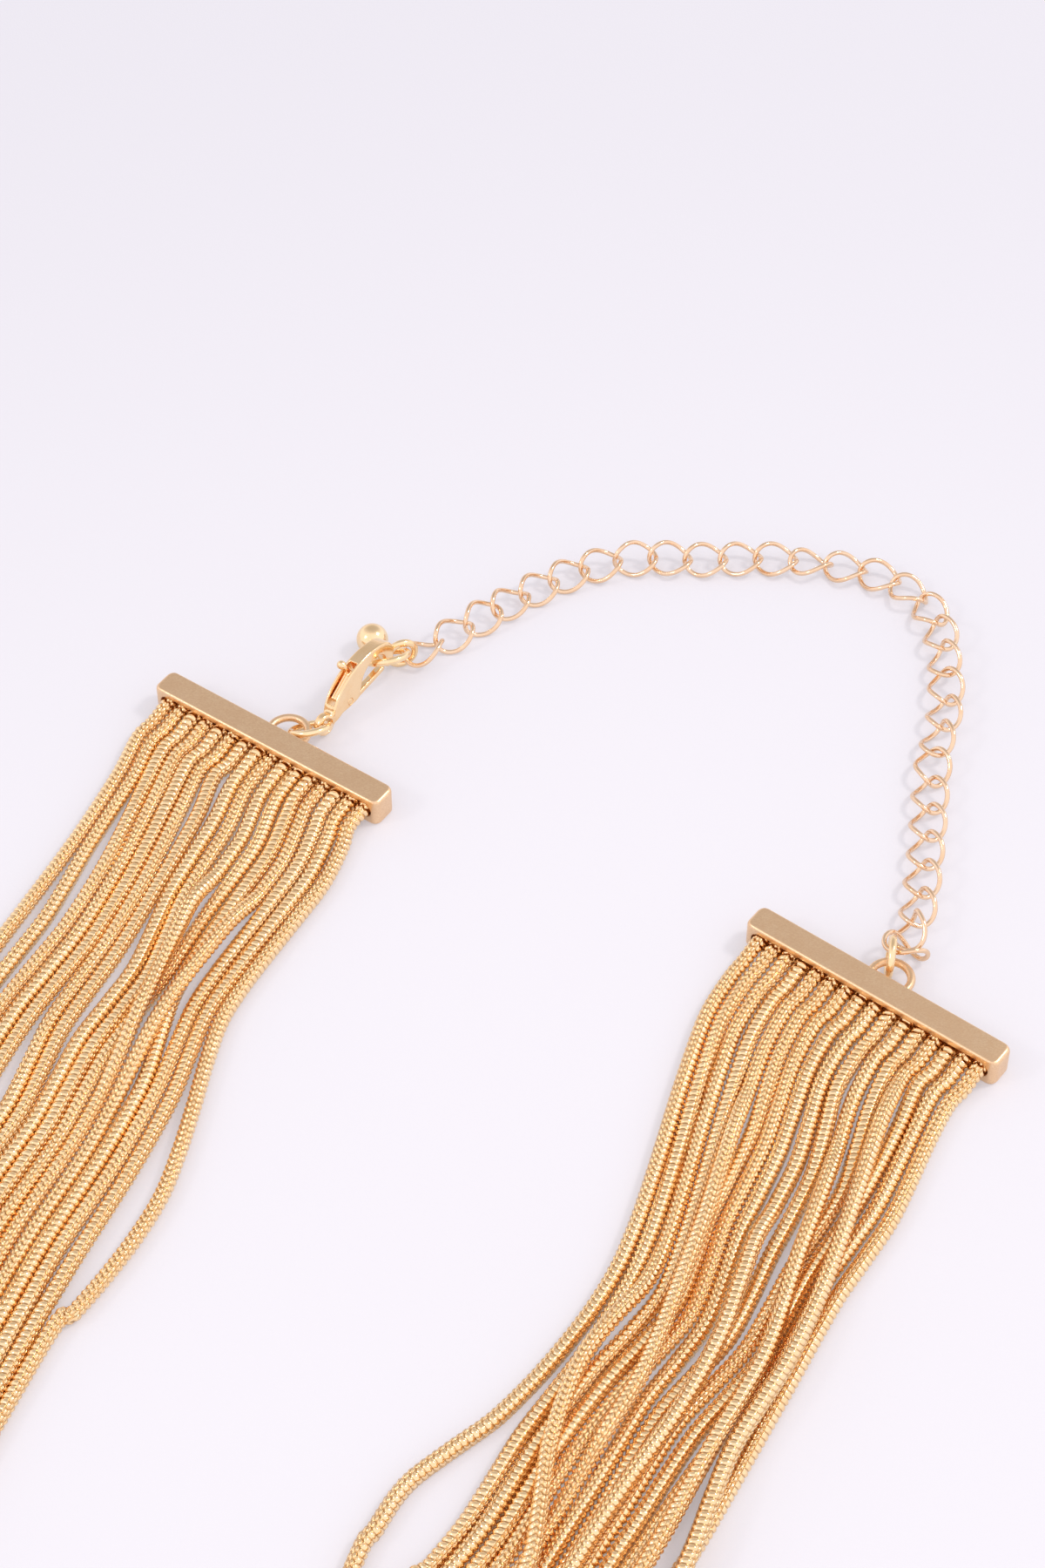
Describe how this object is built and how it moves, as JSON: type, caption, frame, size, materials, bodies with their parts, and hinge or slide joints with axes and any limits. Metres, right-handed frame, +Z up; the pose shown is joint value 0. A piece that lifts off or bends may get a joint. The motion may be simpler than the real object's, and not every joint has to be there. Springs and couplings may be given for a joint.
{
  "type": "multi strand choker",
  "caption": "Choker of round snake chains held side by side between two slotted end bars, with a lobster clasp fastened to a chain of twisted links, laid out flat.",
  "frame": {"origin": "middle of the footprint of the laid out choker, on the table", "axes": "+Z up from the table, +Y away from the viewer towards the clasp and the extender chain, +X to the viewer's right"},
  "size_m": [0.1348, 0.1945, 0.0065],
  "materials": {
    "bar_metal": "satin gold plate, bright at the edges",
    "snake_chain_metal": "polished gold plate over fine slanted ribs",
    "link_metal": "polished pale gold plate",
    "clasp_metal": "polished gold plate, cast"
  },
  "bodies": {
    "necklace": {"bar_left": "bar_metal", "bar_right": "bar_metal", "strand_01": "snake_chain_metal", "strand_02": "snake_chain_metal", "strand_03": "snake_chain_metal", "strand_04": "snake_chain_metal", "strand_05": "snake_chain_metal", "strand_06": "snake_chain_metal", "strand_07": "snake_chain_metal", "strand_08": "snake_chain_metal", "strand_09": "snake_chain_metal", "strand_10": "snake_chain_metal", "strand_11": "snake_chain_metal", "strand_12": "snake_chain_metal", "strand_13": "snake_chain_metal", "strand_14": "snake_chain_metal", "strand_15": "snake_chain_metal", "strand_16": "snake_chain_metal", "extender_chain": "link_metal", "ring_a": "link_metal", "ring_b": "link_metal", "ring_c": "link_metal", "ring_d": "link_metal", "end_ball": "link_metal", "clasp_body": "clasp_metal", "clasp_pin": "clasp_metal"},
    "lever": {"clasp_lever": "clasp_metal"}
  },
  "joints": [
    {"name": "clasp_opening", "type": "hinge", "parent": "necklace", "child": "lever", "pos_m": [0.00027, 0.07279, 0.00215], "axis": [0.7775, -0.6036, 0.1764], "range_deg": [0, 6], "stiffness_Nm_per_rad": 0.0002}
  ]
}
